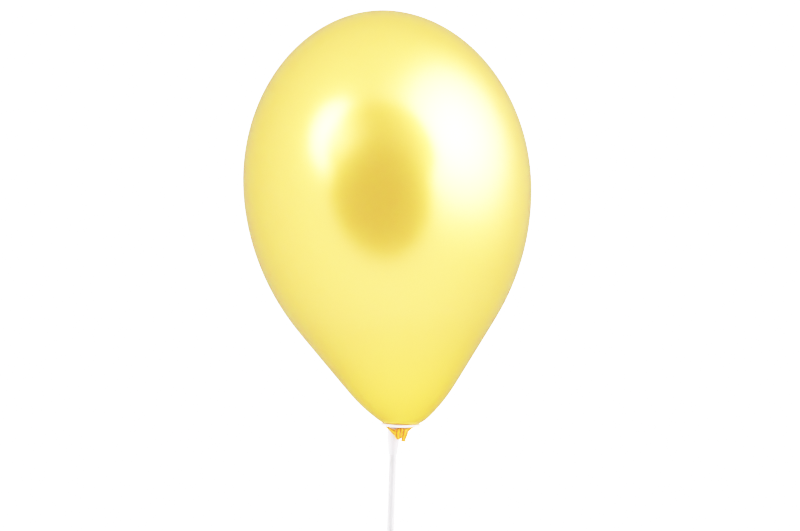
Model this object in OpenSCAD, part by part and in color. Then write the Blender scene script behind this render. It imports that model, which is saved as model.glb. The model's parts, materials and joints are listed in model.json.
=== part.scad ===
// Latex balloon on a stick. The pear-shaped bulb sits with its nose in a shallow cup,
// its neck is pulled through the cup and tucked under it, and the cup is pushed onto a tube.
// +Z runs up the stick's axis from the centre of its lower end. The front is -Y.
// The nose and the cup's dish are concentric spheres, so the bulb rocks about their centre.

/* [Bulb] */
// Widest diameter of the inflated bulb
bulb_w = 250; // [220:1:280]
// Height of the crown above the widest plane
crown_rise = 150; // [130:1:170]
// How square the crown's shoulders are, where 2 is a plain ellipse
crown_fullness = 1.97; // [1.9:0.01:2.4]
// Radius of the flank between the widest plane and the cone
flank_r = 212; // [180:1:230]
// Half angle of the cone below the flank
cone_angle = 35.7; // [34:0.1:37]
// Radius of the flare between the cone and the nose
flare_r = 143; // [120:1:170]
// Radius of the rounded nose
nose_r = 34; // [32:0.5:36]
// Angle below the horizon where the nose ends and the flare starts
nose_edge = 50; // [48:1:54]
// Thickness of the skin, which stands in for latex about a tenth as thick
skin = 0.3; // [0.3:0.05:0.5]
// How far the bulb leans to the left of the stick when it is at rest
bulb_lean = 6; // [0:0.1:7]

/* [Cup] */
// Distance from the stick's axis to the cup's axis
cup_offset = 5.8; // [5:0.1:6.5]
// Radius of the cup over its rim
cup_r = 17; // [16.5:0.1:18]
// Thickness of the dish
cup_wall = 1.2; // [1:0.1:1.5]
// Radius of the bead around the rim
bead_r = 1.05; // [0.8:0.05:1.2]
// Gap between the nose and the dish
seat_gap = 0.3; // [0.2:0.05:0.4]
// Outer diameter of the socket at its upper end
socket_w = 10.4; // [9:0.1:10.6]
// Outer diameter of the socket at its foot
foot_w = 7.2; // [6.8:0.1:8]
// Length over which the socket tapers to its foot
taper_l = 15; // [10:1:18]
// Width of the curved windows in the dish
window_w = 3.4; // [2.5:0.1:3.6]
// Radius of the hole that the neck passes through
neck_hole_r = 3.2; // [3:0.1:3.4]

/* [Stick] */
// Length of the stick
stick_l = 400; // [300:5:500]
// Outer diameter of the stick
stick_w = 6; // [5.5:0.1:6.2]
// Thickness of the stick's wall
stick_wall = 0.6; // [0.4:0.1:0.8]
// Length of stick inside the socket
grip_l = 20; // [12:1:24]
// How far the socket draws the stick's wall in
grip_squeeze = 0.2; // [0.18:0.01:0.25]
// Radial clearance between stick and socket
grip_gap = 0.05; // [0.03:0.01:0.1]

/* [Hidden] */

bulb_r = bulb_w / 2;
seat_r = nose_r + seat_gap;
dish_r = seat_r + cup_wall;
stick_r = stick_w / 2;
grip_r = stick_r - grip_squeeze;
socket_r = socket_w / 2;
bead_at = cup_r - bead_r;

// The stick's top end meets the socket's floor, and the dish starts a little above it.
socket_floor = 2.5;
seat_z = stick_l + socket_floor + dish_r;
rim_z = seat_z - sqrt(pow(dish_r, 2) - pow(bead_at, 2));

// The neck's place under the dish, in front of the socket.
neck_x = cup_offset + 0.6;
neck_y = -7.2;
neck_top = seat_z - sqrt(pow(dish_r, 2) - pow(neck_y, 2)) - 0.2;
latex_gap = 0.1;

// The bunch hangs just under the hole, and the folds leave it on both sides.
gather_top_r = 3.1;
gather_low_r = 2.2;
gather_h = 4.6;
gather_z = neck_top - gather_h - latex_gap;

$fn = 96;

// Height of the widest plane above the nose's centre, from the tangent arcs below it.
flare_top_r = nose_r * cos(nose_edge) + flare_r * (cos(cone_angle) - cos(nose_edge));
flare_top_h = -nose_r * sin(nose_edge) + flare_r * (sin(nose_edge) - sin(cone_angle));
flank_low_r = bulb_r - flank_r * (1 - cos(cone_angle));
widest_h = flare_top_h + (flank_low_r - flare_top_r) / tan(cone_angle)
         + flank_r * sin(cone_angle);

// Points of an arc that runs from one angle below the horizon up to another.
function arc(centre, r, from, to, steps) =
    [for (i = [0 : steps]) let (a = from + (to - from) * i / steps)
        centre + r * [cos(a), -sin(a)]];

// Points from the widest plane up to the crown, closer together towards the top.
function crown(across, rise, steps = 24) =
    [for (i = [1 : steps]) let (a = 90 * (1 - pow(1 - i / steps, 1.3)), p = 2 / crown_fullness)
        [across * pow(cos(a), p), widest_h + rise * pow(sin(a), p)]];

// Half outline of the bulb around the nose's centre, moved inwards by an inset.
function bulb_outline(inset) = concat(
    arc([0, 0], nose_r - inset, 90, nose_edge, 12),
    arc((flare_r - nose_r) * [-cos(nose_edge), sin(nose_edge)],
        flare_r - inset, nose_edge, cone_angle, 8),
    arc([bulb_r - flank_r, widest_h], flank_r - inset, cone_angle, 0, 16),
    crown(bulb_r - inset, crown_rise - inset));

// Puts something at the centre that the nose and the dish share.
module at_seat() {
    translate([cup_offset, 0, seat_z]) children();
}

// The cup's dish and rim as one solid of revolution, grown on its underside.
module dish(grow = 0) {
    at_seat() rotate_extrude() difference() {
        union() {
            intersection() {
                circle(dish_r + grow);
                translate([0, -dish_r - 1]) square([bead_at, dish_r]);
            }
            translate([bead_at, rim_z - seat_z]) circle(bead_r + grow);
        }
        circle(seat_r);
        translate([-cup_r - dish_r, -2 * dish_r]) square([cup_r + dish_r, 4 * dish_r]);
    }
}

// A curved window through the dish, which starts at an angle around the cup's axis.
module window(from) {
    radius = 10.5;
    sweep = 45;
    drop = 2;
    at_seat() rotate([0, 0, from]) rotate_extrude(angle = sweep)
        translate([radius - window_w / 2, -dish_r - drop]) square([window_w, dish_r / 3]);
}

// A thin web between the socket and the underside of the dish.
module web(turn, reach) {
    web_t = 1;
    web_drop = 6;
    root = socket_r - 0.4;
    rotate([0, 0, turn]) rotate([90, 0, 0]) translate([0, 0, -web_t / 2]) linear_extrude(web_t)
        polygon([[root, stick_l - web_drop], [reach, rim_z], [root, rim_z]]);
}

// Hollow tube, drawn in a little where the socket grips its top end.
module stick() {
    shoulder = 1;
    color("white") rotate_extrude() polygon([
        [stick_r - stick_wall, 0], [stick_r, 0],
        [stick_r, stick_l - grip_l - shoulder], [grip_r, stick_l - grip_l],
        [grip_r, stick_l], [stick_r - stick_wall, stick_l]]);
}

// One moulding: dish, rim bead, webs and socket, with the neck hole and the windows.
module cup() {
    mouth = 0.3;
    bore_r = grip_r + grip_gap;
    foot_z = stick_l - grip_l;
    color("whitesmoke") difference() {
        union() {
            dish();
            translate([0, 0, foot_z]) cylinder(r1 = foot_w / 2, r2 = socket_r, h = taper_l);
            translate([0, 0, foot_z + taper_l])
                cylinder(r = socket_r, h = rim_z - foot_z - taper_l);
            web(0, 14);
            web(90, 12);
        }
        at_seat() sphere(seat_r, $fn = 128);
        translate([0, 0, foot_z - 1]) cylinder(r = bore_r, h = grip_l + 1);
        translate([0, 0, foot_z]) cylinder(r1 = bore_r + mouth, r2 = bore_r, h = mouth);
        translate([neck_x, neck_y, gather_z]) cylinder(r = neck_hole_r, h = 2 * gather_h);
        window(-40);
        window(35);
    }
}

// The neck where it leaves the nose and fills the hole in the dish.
module neck_throat() {
    throat_gap = 0.3;
    color("gold") difference() {
        translate([neck_x, neck_y, neck_top]) cylinder(r = neck_hole_r - throat_gap, h = 6);
        at_seat() sphere(nose_r + latex_gap, $fn = 128);
    }
}

// The bunched neck just under the dish, wider above than below.
module neck_gather() {
    color("orange") difference() {
        translate([neck_x, neck_y, gather_z])
            cylinder(r1 = gather_low_r, r2 = gather_top_r, h = gather_h);
        dish(latex_gap);
    }
}

// A fold of the neck stretched out sideways under the dish, to a narrow end.
module neck_fold(outline) {
    fold_t = 3;
    color("goldenrod") difference() {
        translate([0, neck_y - fold_t / 2, rim_z]) rotate([90, 0, 0]) linear_extrude(fold_t)
            polygon(outline);
        dish(latex_gap);
        translate([neck_x, neck_y, gather_z - gather_h])
            cylinder(r = gather_top_r + latex_gap, h = 3 * gather_h);
    }
}

module neck_fold_left() {
    neck_fold([[-6.6, -3.2], [-6.3, -4.4], [-2, -7.6], [2.8, -8.2], [3, -5.2], [-1, -5.4]]);
}

module neck_fold_right() {
    neck_fold([[18.6, -1.4], [18.4, -2.4], [13.2, -5.2], [10, -8], [9.6, -4.6], [13, -2.8]]);
}

// A place in the middle of the neck, as far below the rim as its drop.
function in_neck(x, drop) = [x, neck_y, rim_z - drop];

// One lobe of the neck's free end: round at the top and at the tip, and tapered between.
module neck_tail(top, top_r, tip, tip_r) {
    color("gold") hull() {
        translate(top) sphere(top_r, $fn = 32);
        translate(tip) sphere(tip_r, $fn = 32);
    }
}

module neck_tail_left() {
    neck_tail(top = in_neck(3.7, 10.5), top_r = 2.4, tip = in_neck(4.6, 12.5), tip_r = 1.6);
}

module neck_tail_right() {
    neck_tail(top = in_neck(8.8, 10.5), top_r = 2.4, tip = in_neck(8.6, 13.4), tip_r = 1.3);
}

// The rolled ring at the neck's mouth, around the tip of the right lobe.
module rolled_lip() {
    lip_r = 0.7;
    ring_r = 2.1;
    color("darkgoldenrod") translate(in_neck(8.6, 14.3)) rotate_extrude()
        translate([ring_r, 0]) circle(lip_r, $fn = 32);
}

// The inflated bulb: a sealed skin around air, leaning on its seat.
module bulb() {
    color("khaki") at_seat() rotate([0, -bulb_lean, 0]) difference() {
        rotate_extrude($fn = 144) polygon(bulb_outline(0));
        rotate_extrude($fn = 144) polygon(bulb_outline(skin));
    }
}

stick();
cup();
neck_throat();
neck_gather();
neck_fold_left();
neck_fold_right();
neck_tail_left();
neck_tail_right();
rolled_lip();
bulb();
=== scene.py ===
"""A blown-up latex balloon on its cup and stick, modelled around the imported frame."""

import json
import math

import bpy
from mathutils import Matrix, Vector


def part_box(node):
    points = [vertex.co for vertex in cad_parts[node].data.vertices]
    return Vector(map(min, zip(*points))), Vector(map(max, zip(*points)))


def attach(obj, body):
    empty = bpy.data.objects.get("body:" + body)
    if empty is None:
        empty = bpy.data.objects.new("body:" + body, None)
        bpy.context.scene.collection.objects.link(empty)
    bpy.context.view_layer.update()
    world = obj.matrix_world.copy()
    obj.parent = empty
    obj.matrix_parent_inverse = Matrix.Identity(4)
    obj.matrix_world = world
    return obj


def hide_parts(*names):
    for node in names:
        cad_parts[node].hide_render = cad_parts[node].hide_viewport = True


bl_info = {
    "name": "Latex Balloon on a Stick",
    "version": (1, 0, 0),
    "blender": (4, 5, 0),
    "location": "View3D > Sidebar > Balloon",
    "description": "Models a blown-up pearl latex balloon on its cup and stick",
    "category": "Add Mesh",
}

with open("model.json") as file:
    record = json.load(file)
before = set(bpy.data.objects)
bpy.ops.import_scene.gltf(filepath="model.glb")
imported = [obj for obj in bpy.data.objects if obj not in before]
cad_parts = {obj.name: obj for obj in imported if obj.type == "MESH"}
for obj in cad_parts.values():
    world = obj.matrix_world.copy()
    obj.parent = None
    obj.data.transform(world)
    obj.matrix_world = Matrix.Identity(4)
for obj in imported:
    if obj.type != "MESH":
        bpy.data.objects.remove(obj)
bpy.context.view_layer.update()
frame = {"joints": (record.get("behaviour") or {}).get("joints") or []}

MM = 0.001
TURN = 2 * math.pi
SEAT = Vector(next(j["pos_m"] for j in frame["joints"] if j["name"] == "bulb_sway"))
RIM_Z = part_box("cup")[1].z
CUP_FOOT_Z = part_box("cup")[0].z
STICK_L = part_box("stick")[1].z
# How bright the room and the floor's far edge look, just above the film's white.
ROOM_WHITE = 2.4


def linear(hex_colour):
    """An sRGB hex colour as linear red, green, blue and an alpha of 1."""
    shares = [int(hex_colour[i : i + 2], 16) / 255 for i in (1, 3, 5)]
    return (
        *(s / 12.92 if s <= 0.04045 else ((s + 0.055) / 1.055) ** 2.4 for s in shares),
        1.0,
    )


# ---------------------------------------------------------------- settings


def length(name, description, default):
    """A setting that is a length in metres."""
    return bpy.props.FloatProperty(
        name=name, description=description, default=default, unit="LENGTH", precision=4
    )


def angle(name, description, degrees):
    """A setting that is an angle, given in degrees."""
    return bpy.props.FloatProperty(
        name=name, description=description, default=math.radians(degrees), subtype="ANGLE"
    )


def colour(name, description, hex_colour):
    """A setting that is a colour, given as sRGB hex."""
    return bpy.props.FloatVectorProperty(
        name=name, description=description, default=linear(hex_colour), size=4,
        subtype="COLOR", min=0, max=1,
    )


class BulbSettings(bpy.types.PropertyGroup):
    width: length("Width", "Widest diameter of the bulb", 250 * MM)
    crown_rise: length("Crown rise", "Height of the crown above the widest plane", 150 * MM)
    crown_fullness: bpy.props.FloatProperty(
        name="Crown fullness", description="2 is a plain ellipse, and more is squarer", default=1.97
    )
    flank_r: length("Flank radius", "Radius between the widest plane and the cone", 212 * MM)
    cone_angle: angle("Cone angle", "Half angle of the cone below the flank", 35.7)
    flare_r: length("Flare radius", "Radius between the cone and the nose", 143 * MM)
    nose_r: length("Nose radius", "Radius of the rounded nose", 34.35 * MM)
    nose_edge: angle("Nose edge", "Angle below the horizon where the nose ends", 50)
    lean: angle("Lean", "How far the bulb leans to the left on its seat", 6)
    skin: colour("Skin", "Pearl latex stretched thin", "#FFCF5A")
    thick: colour("Thick skin", "Less stretched latex at the nose", "#FFCB14")


class NeckSettings(bpy.types.PropertyGroup):
    latex: colour("Latex", "Unstretched latex where the light reaches it", "#FFBE14")
    # The crease colour is painted shade, mixed in where the latex lies deep in its folds.
    crease_shade: colour("Creases", "Unstretched latex down in its folds", "#B86200")


class CupSettings(bpy.types.PropertyGroup):
    radius: length("Radius", "Radius over the rim", 17 * MM)
    seat_r: length("Seat radius", "Radius of the dish that the nose sits in", 34.42 * MM)
    wall: length("Wall", "Thickness of the dish", 1.08 * MM)
    bead_r: length("Bead radius", "Radius of the bead around the rim", 1.05 * MM)
    socket_r: length("Socket radius", "Outer radius of the socket's upper end", 5.2 * MM)
    foot_r: length("Foot radius", "Outer radius of the socket's foot", 3.6 * MM)
    taper: length("Taper", "Length over which the socket tapers to its foot", 15 * MM)
    bore_r: length("Bore radius", "Inner radius of the socket", 2.85 * MM)
    neck_hole_r: length("Neck hole radius", "Radius of the hole that the neck fills", 3.2 * MM)
    window_w: length("Window width", "Width of the curved windows in the dish", 3.4 * MM)
    window_at: length("Window radius", "From the cup's axis to a window's middle", 10.5 * MM)
    web_t: length("Web thickness", "Thickness of the webs beside the socket", 1 * MM)
    plastic: colour("Plastic", "Natural white polypropylene", "#DDD7DC")


class StickSettings(bpy.types.PropertyGroup):
    radius: length("Radius", "Outer radius of the tube", 3 * MM)
    wall: length("Wall", "Thickness of the tube's wall", 0.6 * MM)
    squeeze: length("Squeeze", "How far the socket draws the tube's wall in", 0.2 * MM)
    plastic: colour("Plastic", "Extruded white polyethylene", "#DAD1D8")


class StudioSettings(bpy.types.PropertyGroup):
    distance: length("Distance", "From the camera to the stick's axis", 1.75)
    view_width: length("View width", "Width of the view at the stick's axis", 0.6941)
    aside: length("Aside", "How far the camera stands to the right of the stick", 0.7 * MM)
    height: length("Height", "Height of the camera over the stick's foot", 544.1 * MM)
    roll: angle("Roll", "How far the picture turns, so that the stick leans right", 1.9)


# ---------------------------------------------------------------- modelling helpers


def deselect():
    """Leaves edit mode and selects nothing."""
    if bpy.context.object and bpy.context.object.mode != "OBJECT":
        bpy.ops.object.mode_set(mode="OBJECT")
    bpy.ops.object.select_all(action="DESELECT")


def pick(obj):
    """Selects one piece and makes it the active one."""
    deselect()
    obj.select_set(True)
    bpy.context.view_layer.objects.active = obj


def finish_with(obj, kind, **settings):
    """Adds a modifier to a piece and applies it."""
    pick(obj)
    added = obj.modifiers.new(kind.title(), kind)
    for name, value in settings.items():
        setattr(added, name, value)
    bpy.ops.object.modifier_apply(modifier=added.name)


def place(obj, location=(0, 0, 0), rotation=(0, 0, 0)):
    """Moves a piece and puts its place into its mesh."""
    pick(obj)
    obj.location, obj.rotation_euler = location, rotation
    bpy.ops.object.transform_apply(location=True, rotation=True, scale=True)


def lathe(name, outline, steps):
    """Spins an outline of (radius, height) points around Z, as a closed skin."""
    deselect()
    bpy.ops.mesh.primitive_plane_add(size=MM)
    obj = bpy.context.object
    obj.name = obj.data.name = name
    bpy.ops.object.mode_set(mode="EDIT")
    bpy.ops.mesh.select_mode(type="VERT")
    bpy.ops.mesh.select_all(action="SELECT")
    bpy.ops.mesh.merge(type="CENTER")
    at = Vector((0, 0, 0))
    for i, (radius, height) in enumerate(outline):
        step = Vector((radius, 0, height)) - at
        if i == 0:
            bpy.ops.transform.translate(value=step)
        else:
            bpy.ops.mesh.extrude_region_move(TRANSFORM_OT_translate={"value": step})
        at += step
    bpy.ops.mesh.select_all(action="SELECT")
    bpy.ops.mesh.spin(steps=steps, angle=TURN, center=(0, 0, 0), axis=(0, 0, 1))
    bpy.ops.mesh.select_all(action="SELECT")
    bpy.ops.mesh.remove_doubles(threshold=0.02 * MM)
    bpy.ops.mesh.normals_make_consistent(inside=False)
    bpy.ops.object.mode_set(mode="OBJECT")
    return obj


def arc(centre, radius, start, end, steps):
    """Points of an arc between two angles below the horizon."""
    angles = [start + (end - start) * i / steps for i in range(steps + 1)]
    return [
        (centre[0] + radius * math.cos(a), centre[1] - radius * math.sin(a)) for a in angles
    ]


def spoke(radius, a):
    """The point at a distance and an angle around Z."""
    return Vector((radius * math.cos(a), radius * math.sin(a)))


def settle(obj, material, slot, body, *nodes, sharp=math.radians(40)):
    """Gives a finished piece its material, smooth shading, body and CAD nodes.
    Edges that turn by more than sharp stay sharp."""
    obj.data.materials.clear()
    obj.data.materials.append(material)
    pick(obj)
    bpy.ops.object.shade_smooth_by_angle(angle=sharp)
    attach(obj, body)
    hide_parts(*nodes)


# ---------------------------------------------------------------- materials


def add(tree, kind, inputs=None, **settings):
    """Adds a node with its settings, and sets or links its inputs."""
    made = tree.nodes.new(kind)
    for name, value in settings.items():
        setattr(made, name, value)
    for name, value in (inputs or {}).items():
        if isinstance(value, bpy.types.NodeSocket):
            tree.links.new(value, made.inputs[name])
        else:
            made.inputs[name].default_value = value
    return made


def new_material(name):
    """An empty material with its output, and the tree that holds them."""
    made = bpy.data.materials.new(name)
    made.use_nodes = True
    made.node_tree.nodes.clear()
    return made, made.node_tree


def shade(tree, shader):
    """Links a shader to a new output."""
    add(tree, "ShaderNodeOutputMaterial", {"Surface": shader.outputs[0]})


def pearl_latex():
    """Pearl latex: dipped rubber full of titanium-coated mica flakes, blown up until it is thin.
    The flakes lie nearly flat, so they give a broad satin reflection under a smooth, glossy skin."""
    bulb = bpy.context.scene.balloon_bulb
    made, tree = new_material("pearl_latex_stretched")
    place_in = add(tree, "ShaderNodeTexCoord")
    local = add(
        tree, "ShaderNodeMapping",
        {"Vector": place_in.outputs["Object"], "Location": SEAT, "Rotation": (0, -bulb.lean, 0)},
        vector_type="TEXTURE",
    )
    height = add(tree, "ShaderNodeSeparateXYZ", {"Vector": local.outputs[0]})
    crown_z = 328 * MM
    share = add(
        tree, "ShaderNodeMapRange",
        {"Value": height.outputs["Z"], "From Min": -bulb.nose_r, "From Max": crown_z},
    )
    # The latex thins out, and pales, over the lowest part of the bulb.
    thinned_at = 0.28
    stretch = add(tree, "ShaderNodeValToRGB", {"Fac": share.outputs[0]})
    ramp = stretch.color_ramp
    ramp.elements[0].position, ramp.elements[0].color = 0.0, bulb.thick
    ramp.elements[1].position, ramp.elements[1].color = thinned_at, bulb.skin
    # Real flakes are under 0.1 mm, so they are drawn 1.2 mm across to show at all.
    flake = 1.2 * MM
    flakes = add(
        tree, "ShaderNodeTexNoise",
        {"Vector": local.outputs[0], "Scale": 1 / flake, "Detail": 3.0},
    )
    gloss = add(
        tree, "ShaderNodeMapRange",
        {"Value": flakes.outputs["Fac"], "To Min": 0.26, "To Max": 0.34},
    )
    bump = add(
        tree, "ShaderNodeBump",
        {"Height": flakes.outputs["Fac"], "Strength": 0.05, "Distance": 0.05 * MM},
    )
    skin = add(
        tree, "ShaderNodeBsdfPrincipled",
        {
            "Base Color": stretch.outputs["Color"], "Roughness": gloss.outputs[0],
            "Metallic": 0.45, "IOR": 1.52, "Specular Tint": linear("#FFEAB4"),
            "Coat Weight": 1.0, "Coat Roughness": 0.2,
            "Coat IOR": 1.66, "Normal": bump.outputs[0],
            "Subsurface Weight": 1.0, "Subsurface Radius": (1.0, 0.7, 0.3),
            "Subsurface Scale": 8 * MM,
        },
    )
    shade(tree, skin)
    return made


def neck_latex():
    """Pearl latex that isn't stretched: thick, deep in colour and satin, with painted shade that darkens
    it in its folds.
    """
    neck = bpy.context.scene.balloon_neck
    made, tree = new_material("pearl_latex_unstretched")
    place_in = add(tree, "ShaderNodeTexCoord")
    # How deep each point lies in its fold is the mask that paints shade into the folds, towards the
    # crease colour.
    depth = add(tree, "ShaderNodeAttribute", attribute_name="painted_fold_shade")
    # 0, 6 and 7 are the factor and the two colours of a mix node that mixes colours.
    fold = add(
        tree, "ShaderNodeMix",
        {0: depth.outputs["Fac"], 6: neck.latex, 7: neck.crease_shade}, data_type="RGBA",
    )
    # Fine cross wrinkles, about 0.5 mm apart, as in rubber that has shrunk back.
    wrinkle = 0.5 * MM
    wrinkles = add(
        tree, "ShaderNodeTexNoise",
        {"Vector": place_in.outputs["Object"], "Scale": 1 / wrinkle, "Detail": 2.0},
    )
    bump = add(
        tree, "ShaderNodeBump",
        {"Height": wrinkles.outputs["Fac"], "Strength": 0.35, "Distance": 0.1 * MM},
    )
    gloss = add(
        tree, "ShaderNodeMapRange",
        {"Value": wrinkles.outputs["Fac"], "To Min": 0.34, "To Max": 0.48},
    )
    rubber = add(
        tree, "ShaderNodeBsdfPrincipled",
        {
            "Base Color": fold.outputs[2], "Roughness": gloss.outputs[0], "Metallic": 0.1,
            "IOR": 1.5, "Coat Weight": 0.1, "Coat Roughness": 0.25, "Normal": bump.outputs[0],
        },
    )
    shade(tree, rubber)
    return made


def white_plastic(name, shown, grain, strength):
    """Natural white polyolefin, moulded or extruded: waxy, with light scattered inside its wall.
    grain is the size of its faint surface pattern along X, Y and Z, and strength its relief."""
    made, tree = new_material(name)
    place_in = add(tree, "ShaderNodeTexCoord")
    stretched = add(
        tree, "ShaderNodeMapping",
        {"Vector": place_in.outputs["Object"], "Scale": [1 / side for side in grain]},
    )
    pattern = add(
        tree, "ShaderNodeTexNoise",
        {"Vector": stretched.outputs[0], "Scale": 1.0, "Detail": 2.0},
    )
    gloss = add(
        tree, "ShaderNodeMapRange",
        {"Value": pattern.outputs["Fac"], "To Min": 0.28, "To Max": 0.42},
    )
    bump = add(
        tree, "ShaderNodeBump",
        {"Height": pattern.outputs["Fac"], "Strength": strength, "Distance": 0.05 * MM},
    )
    waxy = add(
        tree, "ShaderNodeBsdfPrincipled",
        {
            "Base Color": shown, "Roughness": gloss.outputs[0], "IOR": 1.5,
            "Subsurface Weight": 1.0, "Subsurface Radius": (1.0, 0.9, 0.9),
            "Subsurface Scale": 3.0 * MM, "Normal": bump.outputs[0],
        },
    )
    shade(tree, waxy)
    return made


# ---------------------------------------------------------------- pieces


def bulb_outline(bulb):
    """Half outline of the bulb around the nose's centre: nose, flare, cone, flank and crown."""
    cone, edge = bulb.cone_angle, bulb.nose_edge
    flare = bulb.flare_r - bulb.nose_r
    radius = bulb.width / 2
    low_r = radius - bulb.flank_r * (1 - math.cos(cone))
    top_r = bulb.nose_r * math.cos(edge) + bulb.flare_r * (math.cos(cone) - math.cos(edge))
    top_h = flare * math.sin(edge) - bulb.flare_r * math.sin(cone)
    widest = top_h + (low_r - top_r) / math.tan(cone) + bulb.flank_r * math.sin(cone)
    cone_steps = 4
    cone_run = [
        (top_r + (low_r - top_r) * i / cone_steps,
         top_h + (low_r - top_r) / math.tan(cone) * i / cone_steps)
        for i in range(1, cone_steps)
    ]
    power = 2 / bulb.crown_fullness
    crown_steps = 22
    crown = []
    for i in range(1, crown_steps + 1):
        # Steps close up towards the crown, where the outline turns fastest.
        turned = math.pi / 2 * (1 - (1 - i / crown_steps) ** 1.4)
        crown.append((
            radius * max(0.0, math.cos(turned)) ** power,
            widest + bulb.crown_rise * math.sin(turned) ** power,
        ))
    crown[-1] = (0.0, widest + bulb.crown_rise)
    return (
        arc((0, 0), bulb.nose_r, math.pi / 2, edge, 7)
        + arc((-flare * math.cos(edge), flare * math.sin(edge)), bulb.flare_r, edge, cone, 4)[1:]
        + cone_run
        + arc((radius - bulb.flank_r, widest), bulb.flank_r, cone, 0, 12)
        + crown
    )


def pleated(name, path, pleats, depth, phase=0.0, sides=48):
    """A closed, pleated form along a path of (x, y, height, half width, half depth) in
    millimetres. It keeps how deep each point lies in its fold as the attribute painted_fold_shade."""
    deselect()
    bpy.ops.mesh.primitive_circle_add(vertices=sides, radius=MM, fill_type="NGON")
    obj = bpy.context.object
    obj.name = obj.data.name = name
    bpy.ops.object.mode_set(mode="EDIT")
    bpy.ops.mesh.select_mode(type="FACE")
    bpy.ops.mesh.select_all(action="SELECT")
    for _ in path[1:]:
        bpy.ops.mesh.extrude_region_move(TRANSFORM_OT_translate={"value": (0, 0, MM)})
    bpy.ops.object.mode_set(mode="OBJECT")
    # How far the pleats turn from ring to ring, in radians.
    drift = 0.3
    folds = []
    for corner in obj.data.vertices:
        # The prism's rings are 1 mm apart, so a corner's height tells which ring it is in.
        i = round(corner.co.z / MM)
        x, y, z, wide, deep = path[i]
        before, after = path[max(i - 1, 0)], path[min(i + 1, len(path) - 1)]
        along = Vector((after[0] - before[0], 0, after[2] - before[2])).normalized()
        across = Vector((-along.z, 0, along.x))
        a = math.atan2(corner.co.y, corner.co.x)
        fold = 0.5 - 0.5 * math.cos(pleats * a + phase + drift * i)
        reach = (1 - depth * fold) * MM
        corner.co = mm(x, y, z) + reach * (
            wide * math.cos(a) * across + deep * math.sin(a) * Vector((0, 1, 0))
        )
        folds.append(fold)
    # How deep each point lies in its fold is kept as the mask for the painted shade in the neck's folds.
    fold_shade_values = obj.data.attributes.new("painted_fold_shade", "FLOAT", "POINT")
    fold_shade_values.data.foreach_set("value", folds)
    bpy.ops.object.mode_set(mode="EDIT")
    bpy.ops.mesh.select_all(action="SELECT")
    bpy.ops.mesh.normals_make_consistent(inside=False)
    bpy.ops.object.mode_set(mode="OBJECT")
    finish_with(obj, "SUBSURF", levels=2, render_levels=2)
    return obj


class MakeBulb(bpy.types.Operator):
    """Spin the bulb's outline and lean it on its seat"""

    bl_idname = "balloon.bulb"
    bl_label = "Bulb"

    def execute(self, context):
        bulb = context.scene.balloon_bulb
        obj = lathe("bulb_skin", bulb_outline(bulb), steps=64)
        finish_with(obj, "SUBSURF", levels=2, render_levels=2)
        place(obj, SEAT, (0, -bulb.lean, 0))
        settle(obj, pearl_latex(), "bulb_latex", "bulb", "bulb", sharp=math.pi)
        return {"FINISHED"}


def mm(x, y, z):
    """A point in millimetres from the stick's axis and the cup's rim."""
    return Vector((x * MM, y * MM, RIM_Z + z * MM))


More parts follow.
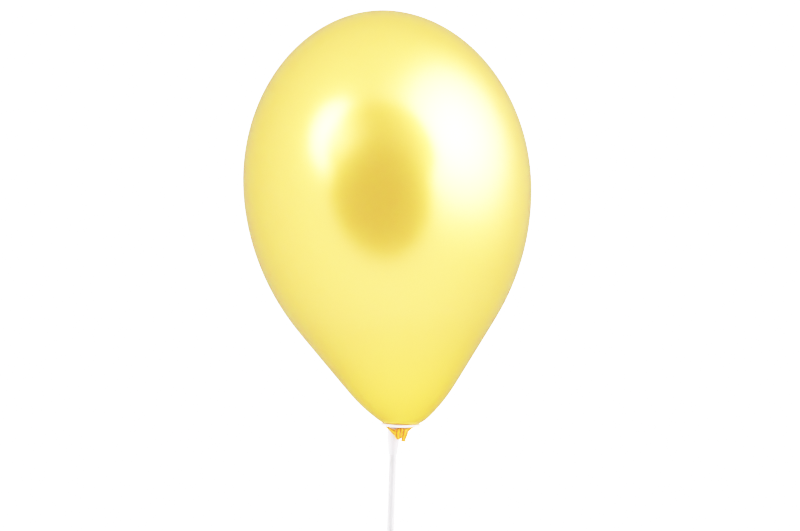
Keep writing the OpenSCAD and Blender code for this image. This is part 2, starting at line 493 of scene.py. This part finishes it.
class MakeNeck(bpy.types.Operator):
    """Fold the neck under the cup, out to both sides and down into two lobes"""

    bl_idname = "balloon.neck"
    bl_label = "Neck"

    def execute(self, context):
        latex = neck_latex()
        throat = pleated(
            "neck_throat_latex",
            [(6.4, -7.2, -2.9, 2.7, 2.7), (6.4, -7.2, -3.6, 2.5, 2.5), (6.4, -7.2, -4.6, 2.4, 2.4)],
            pleats=9, depth=0.14,
        )
        gather = pleated(
            "neck_gather_latex",
            [(6.4, -7.0, -3.6, 3.0, 2.6), (6.4, -7.1, -4.3, 4.2, 3.0), (6.5, -7.2, -5.4, 5.0, 3.0),
             (6.6, -7.2, -7.0, 4.6, 2.6), (6.7, -7.2, -9, 2.8, 1.8)],
            pleats=10, depth=0.12, phase=0.6,
        )
        left = pleated(
            "neck_fold_left_latex",
            [(-6.9, -8.9, -2.9, 0.35, 0.4), (-6.0, -8.6, -3.4, 0.7, 0.8), (-4.4, -8.2, -4.3, 1.0, 1.2),
             (-2.4, -7.9, -5.6, 1.4, 1.5), (-0.8, -7.7, -6.7, 2.0, 1.8), (1.4, -7.7, -7.8, 2.7, 2.0),
             (3.4, -7.7, -8.4, 2.8, 1.8), (4.8, -7.7, -8.7, 1.6, 1.2)],
            pleats=5, depth=0.17, phase=0.8,
        )
        right = pleated(
            "neck_fold_right_latex",
            [(20.9, -7.2, -1.3, 0.25, 0.4), (20.2, -7.3, -1.5, 0.45, 0.7), (18.5, -7.5, -1.9, 0.6, 0.9),
             (16.6, -7.6, -2.4, 0.85, 1.1), (14.8, -7.6, -3.0, 1.2, 1.4), (13.0, -7.6, -4.0, 1.8, 1.7),
             (11.4, -7.6, -5.1, 2.4, 1.9), (9.8, -7.6, -6.4, 2.6, 1.8), (8.6, -7.6, -7.4, 1.5, 1.2)],
            pleats=5, depth=0.17, phase=0.5,
        )
        tail_left = pleated(
            "neck_tail_left_latex",
            [(4.2, -7.8, -5.2, 1.9, 1.2), (3.8, -7.8, -6.1, 3.3, 1.9), (3.65, -7.8, -8.0, 3.65, 2.2),
             (3.95, -7.8, -9.9, 3.4, 2.2), (4.4, -7.8, -11.6, 2.95, 1.9), (4.8, -7.8, -12.9, 2.5, 1.5),
             (5.0, -7.8, -13.5, 1.8, 0.9)],
            pleats=6, depth=0.1, phase=2.2,
        )
        tail_right = pleated(
            "neck_tail_right_latex",
            [(9.4, -7.9, -4.4, 1.6, 1.0), (9.65, -7.9, -5.2, 2.8, 1.8), (9.85, -7.9, -6.8, 3.05, 2.2),
             (9.65, -7.9, -8.8, 2.85, 2.2), (9.2, -7.9, -10.8, 2.45, 1.9), (8.85, -7.9, -12.8, 2.05, 1.6),
             (8.6, -7.9, -14.2, 1.6, 1.3), (8.6, -7.9, -14.9, 1.0, 0.8)],
            pleats=6, depth=0.1, phase=2.0,
        )
        for obj, node in (
            (throat, "neck_throat"), (gather, "neck_gather"), (left, "neck_fold_left"),
            (right, "neck_fold_right"), (tail_left, "neck_tail_left"),
            (tail_right, "neck_tail_right"), (self.rolled_lip(), "rolled_lip"),
        ):
            settle(obj, latex, "neck_latex", "cup", node, sharp=math.pi)
        return {"FINISHED"}

    def rolled_lip(self):
        """The rolled ring at the neck's mouth, squashed a little by the fold."""
        deselect()
        bpy.ops.mesh.primitive_torus_add(
            major_segments=48, minor_segments=16, major_radius=1.35 * MM, minor_radius=0.62 * MM
        )
        obj = bpy.context.object
        obj.name = obj.data.name = "rolled_lip_latex"
        bpy.ops.object.mode_set(mode="EDIT")
        bpy.ops.mesh.select_all(action="SELECT")
        bpy.ops.transform.resize(value=(1.05, 0.85, 1))
        bpy.ops.object.mode_set(mode="OBJECT")
        # The whole lip is painted half way to the crease colour, as painted shade.
        half_shaded = 0.55
        fold_shade_values = obj.data.attributes.new("painted_fold_shade", "FLOAT", "POINT")
        fold_shade_values.data.foreach_set("value", [half_shaded] * len(obj.data.vertices))
        place(obj, mm(8.6, -7.8, -14.6), (0, math.radians(6), 0))
        return obj


class MakeCup(bpy.types.Operator):
    """Mould the cup: dish, rim bead, socket and webs, with the neck hole and the windows"""

    bl_idname = "balloon.cup"
    bl_label = "Cup"

    def execute(self, context):
        cup = context.scene.balloon_cup
        dish = lathe("cup_moulding", self.dish_outline(cup), steps=96)
        place(dish, SEAT)
        foot, socket_top = CUP_FOOT_Z, STICK_L + 3.6 * MM
        socket = lathe(
            "socket",
            [(0, foot), (cup.foot_r, foot), (cup.socket_r, foot + cup.taper),
             (cup.socket_r, socket_top), (0, socket_top)],
            steps=64,
        )
        webs = [self.web(cup, reach=14 * MM, turn=0), self.web(cup, reach=12 * MM, turn=90)]
        for extra in (socket, *webs):
            self.combine(dish, extra, "UNION")
        neck_at = (6.4 * MM, -7.2 * MM)
        cuts = [
            self.cylinder(cup.neck_hole_r, STICK_L - 1 * MM, STICK_L + 12 * MM, neck_at),
            self.cylinder(cup.bore_r, foot - 2 * MM, STICK_L),
            self.lead_in(cup, foot),
            self.window(cup, start=-40),
            self.window(cup, start=35),
        ]
        for cut in cuts:
            self.combine(dish, cut, "DIFFERENCE")
        finish_with(dish, "REMESH", mode="VOXEL", voxel_size=0.24 * MM)
        finish_with(dish, "SMOOTH", factor=0.5, iterations=4)
        moulded = white_plastic("polypropylene_moulded", cup.plastic, [0.7 * MM] * 3, 0.12)
        settle(dish, moulded, "cup_plastic", "cup", "cup", sharp=math.pi)
        return {"FINISHED"}

    def dish_outline(self, cup):
        """Half outline of the dish around the seat's centre: underside, rim bead and seat."""
        dish_r = cup.seat_r + cup.wall
        bead_at = cup.radius - cup.bead_r
        # The underside stops short of the bead, and the seat starts inside the bead's middle.
        short, inset = 0.01, 0.2 * MM
        edge = math.acos(bead_at / dish_r)
        inner = math.acos((bead_at - inset) / cup.seat_r)
        bead_h = -dish_r * math.sin(edge)
        bead = [
            (bead_at + cup.bead_r * math.cos(a), bead_h + cup.bead_r * math.sin(a))
            for a in (math.radians(d) for d in range(-110, 151, 20))
        ]
        return (
            arc((0, 0), dish_r, math.pi / 2, edge + short, 14)
            + bead
            + arc((0, 0), cup.seat_r, inner, math.pi / 2, 14)
        )

    def combine(self, obj, other, how):
        """Joins another solid to a piece, or cuts it out, and removes it."""
        finish_with(obj, "BOOLEAN", object=other, operation=how, solver="EXACT")
        bpy.data.objects.remove(other)

    def cylinder(self, radius, low, high, at=(0, 0)):
        """An upright cylinder between two heights."""
        deselect()
        bpy.ops.mesh.primitive_cylinder_add(
            vertices=64, radius=radius, depth=high - low, location=(*at, (low + high) / 2)
        )
        return bpy.context.object

    def lead_in(self, cup, foot):
        """The cone that opens the socket's mouth."""
        slope = 0.6 * MM
        deselect()
        bpy.ops.mesh.primitive_cone_add(
            vertices=64, radius1=cup.bore_r + slope, radius2=cup.bore_r, depth=slope,
            location=(0, 0, foot),
        )
        return bpy.context.object

    def web(self, cup, reach, turn):
        """A thin triangle between the socket and the dish's underside."""
        root = 3.7 * MM
        tip = 0.6 * MM
        low, high = STICK_L - 6 * MM, RIM_Z - 2.4 * MM
        deselect()
        bpy.ops.mesh.primitive_cube_add(size=1)
        obj = bpy.context.object
        obj.scale = (reach - root, cup.web_t, high - low)
        obj.location = ((reach + root) / 2, 0, (low + high) / 2)
        bpy.ops.object.transform_apply(location=True, rotation=False, scale=True)
        for corner in obj.data.vertices:
            if corner.co.x > reach - 0.1 * MM and corner.co.z < (low + high) / 2:
                corner.co.z = high - tip
        place(obj, rotation=(0, 0, math.radians(turn)))
        clear = 0.08 * MM
        self.combine(obj, self.ball(SEAT, cup.seat_r + clear), "DIFFERENCE")
        return obj

    def ball(self, centre, radius):
        """A sphere about a centre."""
        deselect()
        bpy.ops.mesh.primitive_uv_sphere_add(
            segments=96, ring_count=48, radius=radius, location=centre
        )
        return bpy.context.object

    def window(self, cup, start):
        """A curved slot with round ends, an eighth of a turn long, that cuts the dish."""
        half, steps, ends = cup.window_w / 2, 12, 8
        low, rise = -40 * MM, 12 * MM
        turns = [math.radians(start + 45 * i / steps) for i in range(steps + 1)]
        first, last = turns[0], turns[-1]
        far_end = [
            spoke(cup.window_at, last) + spoke(half, last + math.pi * i / ends)
            for i in range(1, ends)
        ]
        near_end = [
            spoke(cup.window_at, first) + spoke(half, first + math.pi + math.pi * i / ends)
            for i in range(1, ends)
        ]
        outer = [spoke(cup.window_at + half, a) for a in turns]
        inner = [spoke(cup.window_at - half, a) for a in reversed(turns)]
        loop = outer + far_end + inner + near_end
        deselect()
        bpy.ops.mesh.primitive_circle_add(
            vertices=len(loop), radius=cup.window_at, fill_type="NGON"
        )
        obj = bpy.context.object
        for corner, at in zip(obj.data.vertices, loop):
            corner.co = (at.x, at.y, low)
        bpy.ops.object.mode_set(mode="EDIT")
        bpy.ops.mesh.select_mode(type="FACE")
        bpy.ops.mesh.select_all(action="SELECT")
        bpy.ops.mesh.extrude_region_move(TRANSFORM_OT_translate={"value": (0, 0, rise)})
        bpy.ops.mesh.select_all(action="SELECT")
        bpy.ops.mesh.normals_make_consistent(inside=False)
        bpy.ops.object.mode_set(mode="OBJECT")
        place(obj, SEAT)
        return obj


class MakeStick(bpy.types.Operator):
    """Extrude the stick: a tube that its socket draws in at the top"""

    bl_idname = "balloon.stick"
    bl_label = "Stick"

    def execute(self, context):
        stick = context.scene.balloon_stick
        outer, inner = stick.radius, stick.radius - stick.wall
        grip = outer - stick.squeeze
        mouth = CUP_FOOT_Z
        lip, shoulder = 0.12 * MM, 1 * MM
        outline = [
            (inner, STICK_L - lip), (inner, STICK_L / 2), (inner, lip), (inner + lip, 0),
            (outer - lip, 0), (outer, lip), (outer, STICK_L / 4), (outer, STICK_L / 2),
            (outer, 3 * STICK_L / 4), (outer, mouth - shoulder), (grip, mouth),
            (grip, STICK_L - lip), (grip - lip, STICK_L), (inner + lip, STICK_L),
            (inner, STICK_L - lip),
        ]
        obj = lathe("stick_tube", outline, steps=72)
        tube = white_plastic(
            "polyethylene_extruded", stick.plastic, (0.6 * MM, 0.6 * MM, 60 * MM), 0.1
        )
        settle(obj, tube, "stick_plastic", "stick", "stick")
        return {"FINISHED"}


class MakeStudio(bpy.types.Operator):
    """Set the camera, the white room, the soft key light and the floor"""

    bl_idname = "balloon.studio"
    bl_label = "Studio"

    def execute(self, context):
        self.camera(context)
        self.room(context)
        self.key_light(context)
        self.floor()
        return {"FINISHED"}

    def camera(self, context):
        """A level camera in front of the stick, turned a little about its own line of sight."""
        studio = context.scene.balloon_studio
        lens = bpy.data.cameras.new("camera")
        lens.sensor_width = 36
        lens.lens = 36 * studio.distance / studio.view_width
        lens.clip_start, lens.clip_end = 0.05, 50
        eye = bpy.data.objects.new("camera", lens)
        context.scene.collection.objects.link(eye)
        eye.location = (studio.aside, -studio.distance, studio.height)
        eye.rotation_euler = (
            Matrix.Rotation(math.radians(90), 3, "X") @ Matrix.Rotation(studio.roll, 3, "Z")
        ).to_euler()
        context.scene.camera = eye

    def room(self, context):
        """A white room, bright to the eye, whose diffuse light comes mostly from its sides. In
        reflections it holds two softboxes with a glow around them, a dark rounded flag in front,
        and a dimmer back wall."""
        world = bpy.data.worlds.new("white_room")
        context.scene.world = world
        world.use_nodes = True
        world.cycles.sampling_method = "NONE"
        tree = world.node_tree
        tree.nodes.clear()
        towards = add(tree, "ShaderNodeTexCoord").outputs["Generated"]
        depth = add(tree, "ShaderNodeSeparateXYZ", {"Vector": towards})
        front_wall, back_wall, flag_dark = 2.4, 0.4, 0.02
        walls = add(
            tree, "ShaderNodeMapRange",
            {
                "Value": depth.outputs["Y"], "From Min": -1, "From Max": 0.6,
                "To Min": front_wall, "To Max": back_wall,
            },
        )
        right = self.glow(
            tree, towards, azimuth=61, elevation=28, wide=1.06, high=0.84, peak=18.0, core=0.06
        )
        left = self.glow(
            tree, towards, azimuth=-41, elevation=23, wide=0.52, high=0.46, peak=34.0, core=0.1
        )
        lamps = add(tree, "ShaderNodeMath", {0: right, 1: left}, operation="ADD")
        bright = add(
            tree, "ShaderNodeMath", {0: lamps.outputs[0], 1: walls.outputs[0]}, operation="ADD"
        )
        flag_low = self.glow(
            tree, towards, azimuth=-5, elevation=-6, wide=0.7, high=0.54, peak=1.0, core=0.88
        )
        flag_high = self.glow(
            tree, towards, azimuth=-5, elevation=22, wide=0.76, high=0.46, peak=0.9, core=0.88
        )
        flag = add(tree, "ShaderNodeMath", {0: flag_low, 1: flag_high}, operation="MAXIMUM")
        unflagged = add(
            tree, "ShaderNodeMapRange",
            {"Value": flag.outputs[0], "To Min": 1.0, "To Max": flag_dark},
        )
        seen = add(
            tree, "ShaderNodeMath", {0: bright.outputs[0], 1: unflagged.outputs[0]},
            operation="MULTIPLY",
        )
        path = add(tree, "ShaderNodeLightPath")
        side_level, end_level = 4.6, 0.05
        facing = add(tree, "ShaderNodeMath", {0: depth.outputs["Y"]}, operation="ABSOLUTE")
        even = add(
            tree, "ShaderNodeMapRange",
            {"Value": facing.outputs[0], "To Min": side_level, "To Max": end_level},
        )
        glossy = add(
            tree, "ShaderNodeMix",
            {"Factor": path.outputs["Is Glossy Ray"], "A": even.outputs[0], "B": seen.outputs[0]},
        )
        level = add(
            tree, "ShaderNodeMix",
            {"Factor": path.outputs["Is Camera Ray"], "A": glossy.outputs[0], "B": ROOM_WHITE},
        )
        sky = add(
            tree, "ShaderNodeBackground", {"Color": (1, 1, 1, 1), "Strength": level.outputs[0]}
        )
        add(tree, "ShaderNodeOutputWorld", {"Surface": sky.outputs[0]})
        self.film(context.scene.view_settings)

    def film(self, shown):
        """A plain display with a soft shoulder, so that bright yellows pale slowly to white."""
        shown.view_transform = "Standard"
        shown.use_curve_mapping = True
        tone = shown.curve_mapping
        tone.clip_max_x = ROOM_WHITE
        full_white = 2.2
        shoulder = ((0.35, 0.35), (0.7, 0.7), (1.0, 0.84), (1.35, 0.93), (1.8, 0.985))
        # The last of the four curves is the one for all the colours together.
        curve = tone.curves[3]
        curve.points[1].location = (full_white, 1.0)
        for light, level in shoulder:
            curve.points.new(light, level)
        tone.update()

    def glow(self, tree, towards, azimuth, elevation, wide, high, peak, core):
        """A soft oval on the room's walls: peak in its core, a share of its size, and 0 at its rim."""
        fall_off = 1.9
        turned = add(
            tree, "ShaderNodeMapping",
            {
                "Vector": towards, "Scale": (wide, 1, high),
                "Rotation": (math.radians(-elevation), 0, math.radians(azimuth)),
            },
            vector_type="TEXTURE",
        )
        flat = add(
            tree, "ShaderNodeVectorMath", {0: turned.outputs[0], 1: (1, 0, 1)}, operation="MULTIPLY"
        )
        away = add(tree, "ShaderNodeVectorMath", {0: flat.outputs[0]}, operation="LENGTH")
        oval = add(
            tree, "ShaderNodeMapRange",
            {
                "Value": away.outputs["Value"], "From Min": 1.0, "From Max": core, "To Max": 1.0,
            },
        )
        soft = add(tree, "ShaderNodeMath", {0: oval.outputs[0], 1: fall_off}, operation="POWER")
        side = add(tree, "ShaderNodeSeparateXYZ", {"Vector": turned.outputs[0]})
        front = add(tree, "ShaderNodeMath", {0: side.outputs["Y"], 1: 0.0}, operation="LESS_THAN")
        lit = add(
            tree, "ShaderNodeMath", {0: soft.outputs[0], 1: front.outputs[0]}, operation="MULTIPLY"
        )
        strong = add(tree, "ShaderNodeMath", {0: lit.outputs[0], 1: peak}, operation="MULTIPLY")
        return strong.outputs[0]

    def key_light(self, context):
        """A soft square lamp in front, above and to the right, that reflections don't show."""
        lamp = bpy.data.lights.new("key_light", "AREA")
        lamp.shape, lamp.size, lamp.size_y, lamp.energy = "RECTANGLE", 1.0, 1.0, 3
        obj = bpy.data.objects.new("key_light", lamp)
        context.scene.collection.objects.link(obj)
        obj.location = SEAT + Vector((1.3, -1.4, 1.1))
        obj.rotation_euler = (SEAT - obj.location).to_track_quat("-Z", "Y").to_euler()
        obj.visible_camera = obj.visible_glossy = False

    def floor(self):
        """A round of white paper that fades into the room at its edge."""
        deselect()
        bpy.ops.mesh.primitive_circle_add(vertices=96, radius=2.0, fill_type="NGON")
        obj = bpy.context.object
        obj.name = "floor"
        made, tree = new_material("white_paper_floor")
        place_in = add(tree, "ShaderNodeTexCoord")
        away = add(
            tree, "ShaderNodeVectorMath", {0: place_in.outputs["Object"]}, operation="LENGTH"
        )
        fade = add(
            tree, "ShaderNodeMapRange",
            {"Value": away.outputs["Value"], "From Min": 0.5, "From Max": 1.8},
            interpolation_type="SMOOTHSTEP",
        )
        paper = add(
            tree, "ShaderNodeBsdfPrincipled",
            {"Base Color": linear("#E6E6E6"), "Roughness": 0.9, "Specular IOR Level": 0.2},
        )
        glow = add(tree, "ShaderNodeEmission", {"Strength": ROOM_WHITE})
        faded = add(
            tree, "ShaderNodeMixShader",
            {0: fade.outputs[0], 1: paper.outputs[0], 2: glow.outputs[0]},
        )
        shade(tree, faded)
        obj.data.materials.append(made)
        obj.visible_glossy = False


class BalloonPanel(bpy.types.Panel):
    """Lists the operators, each with its settings"""

    bl_label = "Balloon"
    bl_idname = "VIEW3D_PT_balloon"
    bl_space_type = "VIEW_3D"
    bl_region_type = "UI"
    bl_category = "Balloon"

    def draw(self, context):
        for operator, group in STEPS:
            self.layout.operator(operator.bl_idname)
            settings = getattr(context.scene, group)
            for name in settings.__annotations__:
                self.layout.prop(settings, name)


STEPS = (
    (MakeBulb, "balloon_bulb"),
    (MakeNeck, "balloon_neck"),
    (MakeCup, "balloon_cup"),
    (MakeStick, "balloon_stick"),
    (MakeStudio, "balloon_studio"),
)
GROUPS = {
    "balloon_bulb": BulbSettings,
    "balloon_neck": NeckSettings,
    "balloon_cup": CupSettings,
    "balloon_stick": StickSettings,
    "balloon_studio": StudioSettings,
}


def register():
    """Adds the settings, operators and panel to Blender."""
    for group, settings in GROUPS.items():
        bpy.utils.register_class(settings)
        setattr(bpy.types.Scene, group, bpy.props.PointerProperty(type=settings))
    for operator, _ in STEPS:
        bpy.utils.register_class(operator)
    bpy.utils.register_class(BalloonPanel)


def unregister():
    """Takes them out again."""
    bpy.utils.unregister_class(BalloonPanel)
    for operator, _ in reversed(STEPS):
        bpy.utils.unregister_class(operator)
    for group, settings in reversed(GROUPS.items()):
        delattr(bpy.types.Scene, group)
        bpy.utils.unregister_class(settings)


def main():
    """Makes every piece and the stage."""
    register()
    bpy.ops.balloon.bulb()
    bpy.ops.balloon.neck()
    bpy.ops.balloon.cup()
    bpy.ops.balloon.stick()
    bpy.ops.balloon.studio()
    deselect()


if __name__ == "__main__":
    main()
